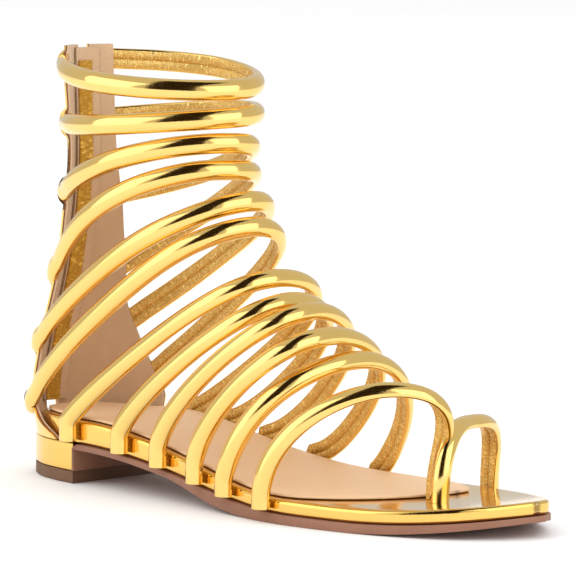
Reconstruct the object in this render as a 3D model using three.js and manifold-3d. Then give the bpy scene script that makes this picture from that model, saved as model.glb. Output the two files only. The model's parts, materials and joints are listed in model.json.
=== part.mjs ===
// Gladiator sandal, right shoe: flat sole, twelve tubular straps, toe ring and a zipped back.
// Millimetres. +X points to the toe, +Y to the inner (medial) side of the foot, +Z up.
// The origin is under the middle of the shoe, on the floor it stands on.
import * as THREE from 'three';
import { mergeVertices } from 'three/addons/utils/BufferGeometryUtils.js';
import Module from 'manifold-3d';

const wasm = await Module();
wasm.setup();

// ---------- driving dimensions ----------

const soleLength = 248;
const gap = 0.3; // clearance between pieces that touch
const boxMiddle = { x: 123.82, y: 0.15 }; // middle of the whole shoe, from the heel's back

const heel = { breastX: 39.8, topZ: 15.2, topPieceHeight: 4.6, taper: 0.6 };
const sole = {
  seatZ: 24.2, // top of the board under the heel
  ballZ: 8.6, // top of the board under the ball
  archStartX: 45,
  archEndX: 168,
  springStartX: 190,
  springHeight: 4.6,
  boardHeel: 8.7, // thickness of the board's side under the heel
  boardFore: 5.0, // and under the ball
  welt: 0.9, // how far the outsole stands out past the board
  stations: 34,
};
const sock = { thickness: 1.0, inset: 3.0, startX: 4.5, tipX: 196, tipY: 19, taperX: 150 };
const strap = { width: 7.9, thickness: 4.6, steps: 26, ringSteps: 34, flatShare: 0.78, standOff: -0.4, endGap: 3.4 };
const quarter = { thickness: 2.0, topZ: 163.5, zipHalfGap: 3.2, rows: 15, columns: 7 };
const zip = { tapeHalf: 6.5, tapeThickness: 0.8, guardHalf: 5.6, guardThickness: 1.1, chainWidth: 4.6, chainThickness: 1.3 };
const slider = {
  z: 155.5, // height of its middle
  width: 5.6,
  height: 9.0,
  innerOut: -1.9, // its two faces, outwards from the ankle form's back
  outerOut: 1.4,
  postWidth: 0.8,
  postHeight: 2.4,
  barOut: 3.7,
  barZ: 157.0,
  barRadius: 0.7,
};
const pull = { eyeRadius: 1.8, eyeWidth: 3.0, holeRadius: 0.79, width: 4.8, length: 22, thickness: 1.2, neck: 4 };

// Sole outline: distance of each edge from the middle line, at a distance from the back of the heel.
const outline = [
  { x: 0, lateral: 4.0, medial: 4.0 },
  { x: 3, lateral: 9.6, medial: 9.6 },
  { x: 7.5, lateral: 14.6, medial: 14.6 },
  { x: 20, lateral: 21.6, medial: 21.6 },
  { x: 40, lateral: 25.8, medial: 26.0 },
  { x: 70, lateral: 28.5, medial: 25.6 },
  { x: 100, lateral: 31.5, medial: 22.8 },
  { x: 130, lateral: 36.9, medial: 26.6 },
  { x: 160, lateral: 41.0, medial: 37.6 },
  { x: 185, lateral: 39.4, medial: 41.1 },
  { x: 210, lateral: 33.4, medial: 37.2 },
  { x: 230, lateral: 23.4, medial: 26.2 },
  { x: 239, lateral: 14.6, medial: 18.2 },
  { x: 244, lateral: 8.0, medial: 13.0 },
  { x: 246.5, lateral: 3.0, medial: 9.4 },
  { x: 247.6, lateral: -0.6, medial: 6.6 },
  { x: 248, lateral: -2.8, medial: 4.4 },
];

// Ankle form at heights above the floor: back, widest place, front, half width, and how far its
// sections are pinched from an ellipse. It is the outer face of the quarters, and the ankle straps
// lie in it.
const ankle = [
  { z: 0, back: 0.6, widest: 40, front: 215, half: 24.6, pinch: 1 },
  { z: 15, back: 0.2, widest: 40, front: 205, half: 25.0, pinch: 1 },
  { z: 30, back: -1.8, widest: 45, front: 195, half: 28.4, pinch: 1 },
  { z: 52, back: 2.6, widest: 50, front: 168, half: 29.0, pinch: 1 },
  { z: 70, back: 8.0, widest: 55, front: 142, half: 29.1, pinch: 1.03 },
  { z: 84, back: 11.2, widest: 58, front: 128, half: 29.6, pinch: 1.09 },
  { z: 101, back: 14.0, widest: 60, front: 113.6, half: 30.8, pinch: 1.12 },
  { z: 112, back: 15.0, widest: 60, front: 109.1, half: 29.6, pinch: 1.14 },
  { z: 122, back: 15.5, widest: 59, front: 102.3, half: 28.6, pinch: 1.14 },
  { z: 136, back: 15.4, widest: 58, front: 104.8, half: 30.1, pinch: 1.14 },
  { z: 150, back: 15.0, widest: 57, front: 103.7, half: 32.2, pinch: 1.14 },
  { z: 170, back: 14.6, widest: 56.5, front: 103.7, half: 32.6, pinch: 1.14 },
];

// How far each quarter wraps forward, in degrees from the middle of the back.
const reach = [
  { z: 0, medial: 82, lateral: 76 },
  { z: 15, medial: 82, lateral: 74 },
  { z: 22, medial: 80, lateral: 50 },
  { z: 30, medial: 77, lateral: 36 },
  { z: 43, medial: 64, lateral: 35 },
  { z: 53, medial: 55, lateral: 34 },
  { z: 65, medial: 45, lateral: 33 },
  { z: 82, medial: 39, lateral: 32 },
  { z: 97, medial: 34, lateral: 31 },
  { z: 126, medial: 28.5, lateral: 28 },
  { z: 153, medial: 25.5, lateral: 26 },
  { z: 170, medial: 25, lateral: 25 },
];

// Ankle straps, top to bottom: height at the back and at the front crown, how it levels off, and
// how much higher the inner side lies than the outer, per millimetre across.
const ankleStraps = [
  { backZ: 157.4, crownZ: 150.7, level: 1.13, roll: 0.06 },
  { backZ: 134.5, crownZ: 140.8, level: 1.03, roll: 0.05 },
  { backZ: 105.5, crownZ: 130.1, level: 1.25, roll: -0.09 },
  { backZ: 71.4, crownZ: 121.0, level: 1.49, roll: -0.07 },
  { backZ: 45.2, crownZ: 110.1, level: 1.13, roll: -0.03 },
  { backZ: 19.8, crownZ: 101.1, level: 1.05, roll: -0.16 },
];

// Instep straps, back to front: feet on the two sole edges, the crown between them, and the powers
// of the forward sweep and of the rise from each side.
const instepStraps = [
  {
    lateral: { x: 39.7, sweep: 0.38, rise: 0.33 },
    medial: { x: 48.3, sweep: 0.31, rise: 0.36 },
    crown: { x: 129.6, y: -8.2, z: 84.0 },
  },
  {
    lateral: { x: 70.4, sweep: 0.53, rise: 0.41 },
    medial: { x: 69.1, sweep: 0.3, rise: 0.42 },
    crown: { x: 137.4, y: -7.6, z: 76.2 },
  },
  {
    lateral: { x: 93.1, sweep: 0.58, rise: 0.38 },
    medial: { x: 91.0, sweep: 0.32, rise: 0.49 },
    crown: { x: 151.1, y: -9.1, z: 73.9 },
  },
  {
    lateral: { x: 116.0, sweep: 0.62, rise: 0.37 },
    medial: { x: 115.5, sweep: 0.3, rise: 0.49 },
    crown: { x: 162.9, y: -10.5, z: 66.1 },
  },
  {
    lateral: { x: 134.4, sweep: 0.86, rise: 0.6 },
    medial: { x: 141.6, sweep: 0.59, rise: 0.76 },
    crown: { x: 166.4, y: -0.5, z: 56.9 },
  },
];
const arch = { side: 1.02, lean: 0.7 }; // roundness across, and lean of the faces with the instep

// The front strap lands between the first two toes, beside the near leg of the toe ring.
const toeStrap = {
  lateral: { x: 156.4, sweep: 1.11, rise: 0.72 },
  post: { x: 200.3, y: 2.0, sweep: 0.97, rise: 0.54 },
  crown: { x: 197.0, y: 0.1, z: 50.0 },
  lean: 0.3,
};
const toeRing = {
  post: { x: 207.2, y: -5.2, sweep: 1, rise: 0.78 },
  medial: { x: 188, sweep: 1, rise: 0.52 },
  crown: { x: 200.6, y: 0, z: 35.6 },
  side: 0.74,
};

// ---------- colours ----------

const material = (color, roughness, metalness) =>
  new THREE.MeshStandardMaterial({ color, roughness, metalness });

const goldLeather = material(0xe6be5a, 0.16, 1.0);
const insideGold = material(0xbe8214, 0.4, 0.9);
const suede = material(0xcba887, 0.95, 0.0);
const sockLeather = material(0xe6be8c, 0.55, 0.0);
const outsoleLeather = material(0x966450, 0.6, 0.0);
const heelRubber = material(0x5a4030, 0.7, 0.0);
const zipBrass = material(0xb08d3c, 0.35, 1.0);

// ---------- helpers ----------

const smooth = (t) => t * t * (3 - 2 * t);
const clamp01 = (t) => Math.min(1, Math.max(0, t));
const mix = (a, b, t) => a + (b - a) * t;
const signedPower = (v, n) => Math.sign(v) * Math.abs(v) ** n;

// Value of a column at a place along a table, as one smooth curve through its rows.
function along(table, key, column, at) {
  const last = table.length - 1;
  let i = 0;
  while (i < last - 1 && at > table[i + 1][key]) i += 1;
  const slope = (k) => {
    const a = table[Math.max(0, k - 1)];
    const b = table[Math.min(last, k + 1)];
    return (b[column] - a[column]) / (b[key] - a[key]);
  };
  const span = table[i + 1][key] - table[i][key];
  const t = clamp01((at - table[i][key]) / span);
  const ease = smooth(t);
  const rise = t * (1 - t) * (1 - t) * span * slope(i);
  const fall = t * t * (t - 1) * span * slope(i + 1);
  return mix(table[i][column], table[i + 1][column], ease) + rise + fall;
}

// One closed body between two grids of points with the same rows and columns.
function slab(rows, columns, outer, inner) {
  const points = [];
  const index = (side, i, j) => side * (rows + 1) * (columns + 1) + i * (columns + 1) + j;
  for (const face of [outer, inner]) {
    for (let i = 0; i <= rows; i += 1) {
      for (let j = 0; j <= columns; j += 1) points.push(...face(i / rows, j / columns).toArray());
    }
  }
  const faces = [];
  const quad = (a, b, c, d) => faces.push(a, b, c, a, c, d);
  for (let i = 0; i < rows; i += 1) {
    for (let j = 0; j < columns; j += 1) {
      quad(index(0, i, j), index(0, i, j + 1), index(0, i + 1, j + 1), index(0, i + 1, j));
      quad(index(1, i, j), index(1, i + 1, j), index(1, i + 1, j + 1), index(1, i, j + 1));
    }
    quad(index(0, i, 0), index(0, i + 1, 0), index(1, i + 1, 0), index(1, i, 0));
    quad(index(0, i, columns), index(1, i, columns), index(1, i + 1, columns), index(0, i + 1, columns));
  }
  for (let j = 0; j < columns; j += 1) {
    quad(index(0, 0, j), index(1, 0, j), index(1, 0, j + 1), index(0, 0, j + 1));
    quad(index(0, rows, j), index(0, rows, j + 1), index(1, rows, j + 1), index(1, rows, j));
  }
  const geometry = new THREE.BufferGeometry();
  geometry.setAttribute('position', new THREE.Float32BufferAttribute(points, 3));
  geometry.setIndex(faces);
  return facingOut(geometry);
}

// Turns the faces round if they enclose a negative volume.
function facingOut(geometry) {
  const p = geometry.attributes.position;
  const index = geometry.index.array;
  const corner = [new THREE.Vector3(), new THREE.Vector3(), new THREE.Vector3()];
  let volume = 0;
  for (let i = 0; i < index.length; i += 3) {
    corner.forEach((v, k) => v.fromBufferAttribute(p, index[i + k]));
    volume += corner[0].dot(corner[1].clone().cross(corner[2]));
  }
  if (volume < 0) {
    for (let i = 0; i < index.length; i += 3) {
      [index[i + 1], index[i + 2]] = [index[i + 2], index[i + 1]];
    }
  }
  geometry.computeVertexNormals();
  return geometry;
}

function toSolid(geometry) {
  const bare = geometry.clone();
  bare.deleteAttribute('normal');
  bare.deleteAttribute('uv');
  const merged = mergeVertices(bare, 1e-4);
  return new wasm.Manifold(
    new wasm.Mesh({
      numProp: 3,
      vertProperties: new Float32Array(merged.attributes.position.array),
      triVerts: new Uint32Array(merged.index.array),
    }),
  );
}

function fromSolid(solid) {
  const mesh = solid.getMesh();
  const geometry = new THREE.BufferGeometry();
  geometry.setAttribute('position', new THREE.BufferAttribute(mesh.vertProperties, 3));
  geometry.setIndex(new THREE.BufferAttribute(mesh.triVerts, 1));
  geometry.computeVertexNormals();
  return geometry;
}

// ---------- sole surfaces ----------

const edge = (x, side) => along(outline, 'x', side, x);

function boardTop(x) {
  const arched = smooth(clamp01((x - sole.archStartX) / (sole.archEndX - sole.archStartX)));
  const spring = clamp01((x - sole.springStartX) / (soleLength - sole.springStartX));
  return mix(sole.seatZ, sole.ballZ, arched) + sole.springHeight * spring * spring;
}

function boardThickness(x) {
  const t = smooth(clamp01((x - sole.archStartX) / (sole.archEndX - sole.archStartX)));
  return mix(sole.boardHeel, sole.boardFore, t);
}

const boardBottom = (x) => boardTop(x) - boardThickness(x);

// Underside of the outsole: thin under the arch, flat on the floor under the ball, rising at the toe.
function outsoleBottom(x) {
  const thick = boardBottom(x) - gap;
  const thin = 2.1;
  const t = smooth(clamp01((x - 95) / (sole.archEndX - 14 - 95)));
  const spring = clamp01((x - sole.springStartX) / (soleLength - sole.springStartX));
  return Math.max(0, mix(thick - thin, 0, t)) + (sole.springHeight + 1.1) * spring * spring;
}

// Stations along the sole, closer together at its two round ends.
function station(t, from, to) {
  return mix(from, to, mix(t, smooth(t), 0.85));
}

// A flat piece that follows the sole: its two edges, and its top and bottom, depend on x alone.
function soleLayer({ from, to, rows, lateral, medial, top, bottom }) {
  const at = (t, s, height) => {
    const x = station(t, from, to);
    return new THREE.Vector3(x, mix(-lateral(x), medial(x), s), height(x));
  };
  return slab(rows, 2, (t, s) => at(t, s, top), (t, s) => at(t, s, bottom));
}

// ---------- ankle form ----------

// A point of the ankle form at a height and an angle from the middle of the back, moved outwards.
function onAnkle(z, angle, out) {
  const widest = along(ankle, 'z', 'widest', z);
  const half = along(ankle, 'z', 'half', z) + out;
  const pinch = along(ankle, 'z', 'pinch', z);
  const c = signedPower(Math.cos(angle), pinch);
  const depth = c > 0 ? widest - along(ankle, 'z', 'back', z) : along(ankle, 'z', 'front', z) - widest;
  return new THREE.Vector3(widest - c * (depth + out), half * signedPower(Math.sin(angle), pinch), z);
}

// ---------- pieces ----------

function outsole() {
  const wide = (side) => (x) => edge(x, side) + sole.welt;
  const tread = { x: heel.breastX + gap, flap: 1.3, foot: heel.topPieceHeight + 0.4, rows: 5 };
  // The leather runs down the heel's front face first, then forward under the arch to the toe.
  const share = 0.12;
  const profile = (t) => {
    const cornerTop = boardBottom(tread.x) - gap;
    if (t <= share) {
      const z = mix(tread.foot, cornerTop, t / share);
      const low = Math.min(z, cornerTop - 2.1 * (t / share));
      return { x: tread.x, topZ: z, bottomX: tread.x + tread.flap, bottomZ: low };
    }
    const x = station((t - share) / (1 - share), tread.x + 2.5, soleLength + sole.welt);
    const inside = Math.min(x, soleLength);
    return { x, topZ: boardBottom(inside) - gap, bottomX: x, bottomZ: outsoleBottom(inside) };
  };
  const at = (x, z, s) => {
    const inside = Math.min(x, soleLength);
    return new THREE.Vector3(x, mix(-wide('lateral')(inside), wide('medial')(inside), s), z);
  };
  const rows = sole.stations + tread.rows;
  return slab(
    rows,
    2,
    (t, s) => at(profile(t).x, profile(t).topZ, s),
    (t, s) => at(profile(t).bottomX, profile(t).bottomZ, s),
  );
}

// Half width of the ankle form at a distance from the heel's back.
function ankleHalfAt(x, z, out) {
  const widest = along(ankle, 'z', 'widest', z);
  const pinch = along(ankle, 'z', 'pinch', z);
  const c = clamp01((widest - x) / (widest - along(ankle, 'z', 'back', z) + out)) ** (2 / pinch);
  return (along(ankle, 'z', 'half', z) + out) * (1 - c) ** (pinch / 2);
}

// The board is set back under the heel, where the quarters wrap over its side.
function boardEdge(x, side) {
  const wrapped = Math.min(edge(x, side), ankleHalfAt(x, heel.topZ, -(quarter.thickness + gap + 0.3)));
  const wrapEnd = side === 'lateral' ? 31 : 36;
  return Math.max(1.6, mix(wrapped, edge(x, side), smooth(clamp01((x - wrapEnd) / 4))));
}

function board() {
  return soleLayer({
    from: 3.4,
    to: soleLength,
    rows: sole.stations,
    lateral: (x) => boardEdge(x, 'lateral'),
    medial: (x) => boardEdge(x, 'medial'),
    top: boardTop,
    bottom: boardBottom,
  });
}

// The sock narrows across the toes to a round tip beside the toe ring.
function insoleSock() {
  const narrow = (x) => clamp01((x - sock.taperX) / (sock.tipX - sock.taperX));
  const side = (x, name, sign) => {
    const full = boardEdge(x, name) - sock.inset;
    const t = narrow(x);
    return mix(full, sign * sock.tipY + 2, 1 - Math.sqrt(1 - t * t * 0.995));
  };
  return soleLayer({
    from: sock.startX + 3,
    to: sock.tipX,
    rows: 22,
    lateral: (x) => side(x, 'lateral', -1),
    medial: (x) => side(x, 'medial', 1),
    top: (x) => boardTop(x) + gap + sock.thickness,
    bottom: (x) => boardTop(x) + gap,
  });
}

function heelLayer(bottom, top) {
  const taper = (z) => heel.taper * (1 - z / heel.topZ);
  const at = (t, s, z) => {
    const x = mix(0.4 + taper(z), heel.breastX, mix(t, t * t, 0.75));
    return new THREE.Vector3(x, mix(-edge(x, 'lateral') + taper(z), edge(x, 'medial') - taper(z), s), z);
  };
  return slab(12, 2, (t, s) => at(t, s, top), (t, s) => at(t, s, bottom));
}

// A curved leather wall on the ankle form, between two angles and two heights.
function ankleWall({ rows, columns, lowZ, highZ, from, to, outside, inside }) {
  const at = (t, s, out) => {
    const z = mix(lowZ, highZ, t);
    return onAnkle(z, mix(from(z), to(z), s), out);
  };
  return slab(rows, columns, (t, s) => at(t, s, outside), (t, s) => at(t, s, inside));
}

// Angle from the middle of the back at which the ankle form is a given distance off the middle.
const angleAt = (z, distance) =>
  Math.asin((distance / along(ankle, 'z', 'half', z)) ** (1 / along(ankle, 'z', 'pinch', z)));

function backQuarter(side) {
  const sign = side === 'medial' ? 1 : -1;
  return ankleWall({
    rows: quarter.rows,
    columns: quarter.columns,
    lowZ: heel.topZ + gap,
    highZ: quarter.topZ,
    from: (z) => sign * angleAt(z, quarter.zipHalfGap),
    to: (z) => sign * THREE.MathUtils.degToRad(along(reach, 'z', side, z)),
    outside: 0,
    inside: -quarter.thickness,
  });
}

// A strip down the middle of the back, behind the opening between the quarters.
function backStrip(half, outside, inside, lowZ, highZ, rows = 14) {
  return ankleWall({
    rows,
    columns: 2,
    lowZ,
    highZ,
    from: (z) => -angleAt(z, half),
    to: (z) => angleAt(z, half),
    outside,
    inside,
  });
}

function zipTape() {
  const back = -quarter.thickness - gap;
  const low = sole.seatZ + gap + sock.thickness + 1;
  const tape = backStrip(zip.tapeHalf, back, back - zip.tapeThickness, low, quarter.topZ - 1);
  const chain = backStrip(
    zip.chainWidth / 2,
    back + zip.chainThickness,
    back - zip.tapeThickness / 2,
    low + 1,
    slider.z - slider.height / 2 - gap,
  );
  return fromSolid(toSolid(tape).add(toSolid(chain)));
}

function zipGuard() {
  const back = -quarter.thickness - zip.tapeThickness - 2 * gap;
  const low = sole.seatZ + gap + sock.thickness + 1;
  return backStrip(zip.guardHalf, back, back - zip.guardThickness, low, quarter.topZ - 6);
}

// ---------- straps ----------

// A strap's path with its flat face kept towards the foot, so that the section never rolls over.
class StrapPath extends THREE.Curve {
  constructor(point, outward) {
    super();
    this.point = point;
    this.outward = outward;
    this.arcLengthDivisions = 600;
  }

  getPoint(t, target = new THREE.Vector3()) {
    return target.copy(this.point(t));
  }

  computeFrenetFrames(segments) {
    const frames = { tangents: [], normals: [], binormals: [] };
    for (let i = 0; i <= segments; i += 1) {
      const at = this.getPointAt(i / segments);
      const tangent = this.getTangentAt(i / segments).normalize();
      const outward = this.outward(at);
      outward.addScaledVector(tangent, -outward.dot(tangent)).normalize();
      frames.tangents.push(tangent);
      frames.normals.push(outward);
      frames.binormals.push(tangent.clone().cross(outward));
    }
    return frames;
  }
}

// Half-round tube section: flat towards the foot, crowned on the outside.
function strapSection() {
  const flat = (strap.width / 2) * strap.flatShare;
  const half = strap.width / 2;
  const inner = -strap.thickness / 2;
  const shape = new THREE.Shape();
  shape.moveTo(inner, -flat);
  for (const degrees of [-78, -38, 0, 38, 78]) {
    const a = THREE.MathUtils.degToRad(degrees);
    shape.lineTo(inner + 0.9 + (strap.thickness - 0.9) * Math.cos(a), half * Math.sin(a));
  }
  shape.lineTo(inner, flat);
  shape.closePath();
  return shape;
}

function strapAlong(path, steps) {
  return new THREE.ExtrudeGeometry(strapSection(), { steps, extrudePath: path, bevelEnabled: false });
}

// An ankle strap lies in the ankle form and ends against the front edges of the two quarters.
// Its height climbs from the back and levels off at the crown.
function ankleStrapPath(row) {
  const out = strap.standOff;
  const backX = onAnkle(row.backZ, 0, out).x;
  const crownX = onAnkle(row.crownZ, Math.PI, out).x;
  const height = (x, y) => {
    const c = clamp01((x - backX) / (crownX - backX));
    return mix(row.backZ, row.crownZ, 1 - (1 - c) ** row.level) + row.roll * y;
  };
  const onRing = (angle) => {
    let point = onAnkle(row.backZ, angle, out);
    for (let i = 0; i < 30; i += 1) {
      point = onAnkle(mix(point.z, height(point.x, point.y), 0.5), angle, out);
    }
    return point;
  };
  // The angle at which the ring comes out of a quarter, with room for the strap's slanted end.
  const endAngle = (side) => {
    let angle = 0.5;
    for (let i = 0; i < 20; i += 1) {
      const z = onRing(angle).z;
      angle = THREE.MathUtils.degToRad(along(reach, 'z', side, z)) + strap.endGap / 32;
    }
    return angle;
  };
  const start = endAngle('lateral');
  const end = endAngle('medial');
  // Towards the crown the strap's face leans with the front of the ankle.
  const middleX = mix(backX, crownX, 0.5);
  const step = 4;
  const frontLean =
    (along(ankle, 'z', 'front', row.crownZ + step) - along(ankle, 'z', 'front', row.crownZ - step)) /
    (2 * step);
  return new StrapPath(
    (t) => onRing(mix(-start, end - 2 * Math.PI, t)),
    (at) => new THREE.Vector3(at.x - middleX, at.y, -frontLean * Math.max(0, at.x - middleX)),
  );
}

// An arch over the foot: straight up from each foot by its riser, then swept forward to the crown.
// The strap's face follows the sole's edge at its feet and leans with the instep above them.
function archPath({ feet, crown, side, lean }) {
  const [near, far] = feet;
  const shoulders = feet.map((foot) => foot.at.clone().setZ(foot.at.z + foot.riser));
  const middle = shoulders[0].clone().add(shoulders[1]).multiplyScalar(0.5);
  const riserShare = 0.04;
  const point = (t) => {
    if (t < riserShare) return near.at.clone().lerp(shoulders[0], t / riserShare);
    if (t > 1 - riserShare) return far.at.clone().lerp(shoulders[1], (1 - t) / riserShare);
    const turn = Math.PI * smooth((t - riserShare) / (1 - 2 * riserShare));
    const s = Math.max(0, Math.sin(turn));
    const c = Math.cos(turn);
    const { sweep, rise } = c > 0 ? near : far;
    const base = shoulders[0].clone().lerp(shoulders[1], (1 - c) / 2);
    return new THREE.Vector3(
      base.x + (crown.x - middle.x) * s ** sweep,
      middle.y + ((shoulders[0].y - shoulders[1].y) / 2) * signedPower(c, side) + crown.y * s * s,
      base.z + (crown.z - middle.z) * s ** rise,
    );
  };
  const outward = (at) => {
    const foot = at.y < middle.y ? near : far;
    const across = at.y - middle.y;
    const height = Math.max(0, at.z - middle.z);
    const low = clamp01(1 - height / 12);
    return new THREE.Vector3(lean * height - low * foot.flare * Math.abs(across), across, height);
  };
  return new StrapPath((t) => point(clamp01(t)), outward);
}

const besideBoard = 1.1 + strap.thickness / 2; // from the edge of the sole to a strap's middle
const footLift = 1.0; // height of a strap's cut end above the top of the outsole

// The foot of a strap on the side of the board: its place, riser height and the edge's flare.
function sideFoot(end, side) {
  const sign = side === 'medial' ? 1 : -1;
  const flare = (edge(end.x + 3, side) - edge(end.x - 3, side)) / 6;
  const low = boardBottom(end.x) + footLift;
  const at = new THREE.Vector3(end.x, sign * (edge(end.x, side) + besideBoard), low);
  return { at, riser: boardTop(end.x) - low, flare, sweep: end.sweep, rise: end.rise };
}

// The foot of a strap that stands on the sole between the toes.
function postFoot(end) {
  const at = new THREE.Vector3(end.x, end.y, boardTop(end.x) + gap + 0.1);
  return { at, riser: 3, flare: 0, sweep: end.sweep, rise: end.rise };
}

function instepStrap(row) {
  const path = archPath({
    feet: [sideFoot(row.lateral, 'lateral'), sideFoot(row.medial, 'medial')],
    crown: row.crown,
    side: arch.side,
    lean: arch.lean,
  });
  return strapAlong(path, strap.steps);
}

// Front strap and toe ring, joined where they meet between the toes.
function toeLoop() {
  const front = archPath({
    feet: [sideFoot(toeStrap.lateral, 'lateral'), postFoot(toeStrap.post)],
    crown: toeStrap.crown,
    side: arch.side,
    lean: toeStrap.lean,
  });
  const ring = archPath({
    feet: [postFoot(toeRing.post), sideFoot(toeRing.medial, 'medial')],
    crown: toeRing.crown,
    side: toeRing.side,
    lean: 0,
  });
  const joined = toSolid(strapAlong(front, strap.steps)).add(toSolid(strapAlong(ring, strap.steps)));
  return fromSolid(joined);
}

// ---------- zip slider and pull ----------

const backX = onAnkle(slider.z, 0, 0).x;
const barX = backX - slider.barOut;

function block(lowX, highX, width, lowZ, highZ, y = 0) {
  const box = new THREE.BoxGeometry(highX - lowX, width, highZ - lowZ);
  box.translate((lowX + highX) / 2, y, (lowZ + highZ) / 2);
  return toSolid(box);
}

function acrossCylinder(radius, width) {
  const cylinder = new THREE.CylinderGeometry(radius, radius, width, 24);
  cylinder.translate(barX, 0, slider.barZ);
  return toSolid(cylinder);
}

// The slider sits at the top of the zip, with a bar across two posts for the pull tab.
function zipSlider() {
  const low = slider.z - slider.height / 2;
  const body = block(backX - slider.outerOut, backX - slider.innerOut, slider.width, low, low + slider.height);
  const posts = [-1, 1].map((sign) =>
    block(
      barX - slider.barRadius - 0.2,
      backX - slider.outerOut + 0.2,
      slider.postWidth,
      slider.barZ - slider.postHeight / 2,
      slider.barZ + slider.postHeight / 2,
      (sign * (slider.width - slider.postWidth)) / 2,
    ),
  );
  const bar = acrossCylinder(slider.barRadius, slider.width - slider.postWidth);
  return fromSolid(body.add(posts[0]).add(posts[1]).add(bar));
}

// The tab hangs from the bar by its eye and swings out and up about it.
function zipPull() {
  const half = pull.thickness / 2;
  const neck = block(barX - half, barX + half, pull.eyeWidth, slider.barZ - pull.neck - 1, slider.barZ);
  const low = slider.barZ - pull.length;
  const tab = block(barX - half, barX + half, pull.width, low, slider.barZ - pull.neck);
  const eye = acrossCylinder(pull.eyeRadius, pull.eyeWidth);
  const hole = acrossCylinder(pull.holeRadius, pull.eyeWidth + 2);
  return fromSolid(eye.add(neck).add(tab).subtract(hole));
}

// ---------- assembly ----------

const sandal = new THREE.Group();
sandal.position.set(-boxMiddle.x, -boxMiddle.y, 0);

function place(name, geometry, finish) {
  const mesh = new THREE.Mesh(geometry, finish);
  mesh.name = name;
  sandal.add(mesh);
}

place('outsole', outsole(), outsoleLeather);
place('midsole_board', board(), goldLeather);
place('insole_sock', insoleSock(), sockLeather);
place('heel_block', heelLayer(heel.topPieceHeight + gap, heel.topZ), goldLeather);
place('heel_top_piece', heelLayer(0, heel.topPieceHeight), heelRubber);
place('back_quarter_medial', backQuarter('medial'), suede);
place('back_quarter_lateral', backQuarter('lateral'), suede);
place('zip_tape', zipTape(), zipBrass);
place('zip_guard', zipGuard(), insideGold);
place('zip_slider', zipSlider(), zipBrass);
place('zip_pull', zipPull(), zipBrass);
ankleStraps.forEach((row, i) => {
  place(`ankle_strap_${i + 1}`, strapAlong(ankleStrapPath(row), strap.ringSteps), goldLeather);
});
instepStraps.forEach((row, i) => place(`instep_strap_${i + 1}`, instepStrap(row), goldLeather));
place('toe_strap_and_ring', toeLoop(), goldLeather);

const group = new THREE.Group();
group.add(sandal);
export default group;
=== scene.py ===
import json
import math

import bmesh
import bpy
from mathutils import Matrix, Vector

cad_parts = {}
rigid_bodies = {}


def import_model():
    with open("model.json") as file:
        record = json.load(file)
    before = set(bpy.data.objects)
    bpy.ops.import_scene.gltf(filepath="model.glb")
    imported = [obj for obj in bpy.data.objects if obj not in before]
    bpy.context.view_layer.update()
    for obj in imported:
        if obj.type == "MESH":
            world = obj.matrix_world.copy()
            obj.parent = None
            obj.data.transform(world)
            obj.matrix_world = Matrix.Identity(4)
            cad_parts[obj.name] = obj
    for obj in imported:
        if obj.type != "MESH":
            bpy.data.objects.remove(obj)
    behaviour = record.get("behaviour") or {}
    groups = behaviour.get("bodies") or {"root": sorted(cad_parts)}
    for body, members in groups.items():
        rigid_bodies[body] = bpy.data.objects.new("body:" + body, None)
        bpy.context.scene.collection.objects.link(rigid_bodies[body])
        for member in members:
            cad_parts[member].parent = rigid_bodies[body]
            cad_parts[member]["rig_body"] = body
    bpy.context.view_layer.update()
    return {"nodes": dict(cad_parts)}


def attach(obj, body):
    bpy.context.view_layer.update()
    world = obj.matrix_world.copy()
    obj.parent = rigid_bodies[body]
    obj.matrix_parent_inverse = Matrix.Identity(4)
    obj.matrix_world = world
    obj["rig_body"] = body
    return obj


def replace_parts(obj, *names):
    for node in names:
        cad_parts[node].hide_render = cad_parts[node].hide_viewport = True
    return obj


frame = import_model()
shoeBody = frame["nodes"]["outsole"]["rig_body"]
mm = 0.001
heelBack = Vector((-123.82, -0.15, 0.0))  # the back of the heel, from the middle of the shoe, in mm

scene = bpy.context.scene

# ---------- camera ----------

cameraSpec = {"turn": 44.36, "tilt": 5.98, "roll": 0.62, "distance": 1.8, "lens": 307.1,
              "aim": (0.0007, -0.0002, 0.07), "shiftX": 0.008, "shiftY": 0.0417}


def placeCamera(spec):
    turn, tilt = math.radians(spec["turn"]), math.radians(spec["tilt"])
    back = Vector((math.sin(turn) * math.cos(tilt), -math.cos(turn) * math.cos(tilt), math.sin(tilt)))
    data = bpy.data.cameras.new("camera")
    data.lens = spec["lens"]
    data.sensor_width = 36
    data.shift_x, data.shift_y = spec["shiftX"], spec["shiftY"]
    data.clip_start, data.clip_end = 0.05, 50
    camera = bpy.data.objects.new("camera", data)
    scene.collection.objects.link(camera)
    turned = back.to_track_quat("Z", "Y").to_matrix().to_4x4()
    roll = Matrix.Rotation(math.radians(spec["roll"]), 4, "Z")
    camera.matrix_world = Matrix.Translation(Vector(spec["aim"]) + back * spec["distance"]) @ turned @ roll
    scene.camera = camera
    return back


towardsCamera = placeCamera(cameraSpec)
print("camera placed")

# ---------- small helpers ----------


def smooth(t):
    return t * t * (3 - 2 * t)


def clamp(t):
    return min(1.0, max(0.0, t))


def mix(a, b, t):
    return a + (b - a) * t


def signedPower(v, n):
    return math.copysign(abs(v) ** n, v)


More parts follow.
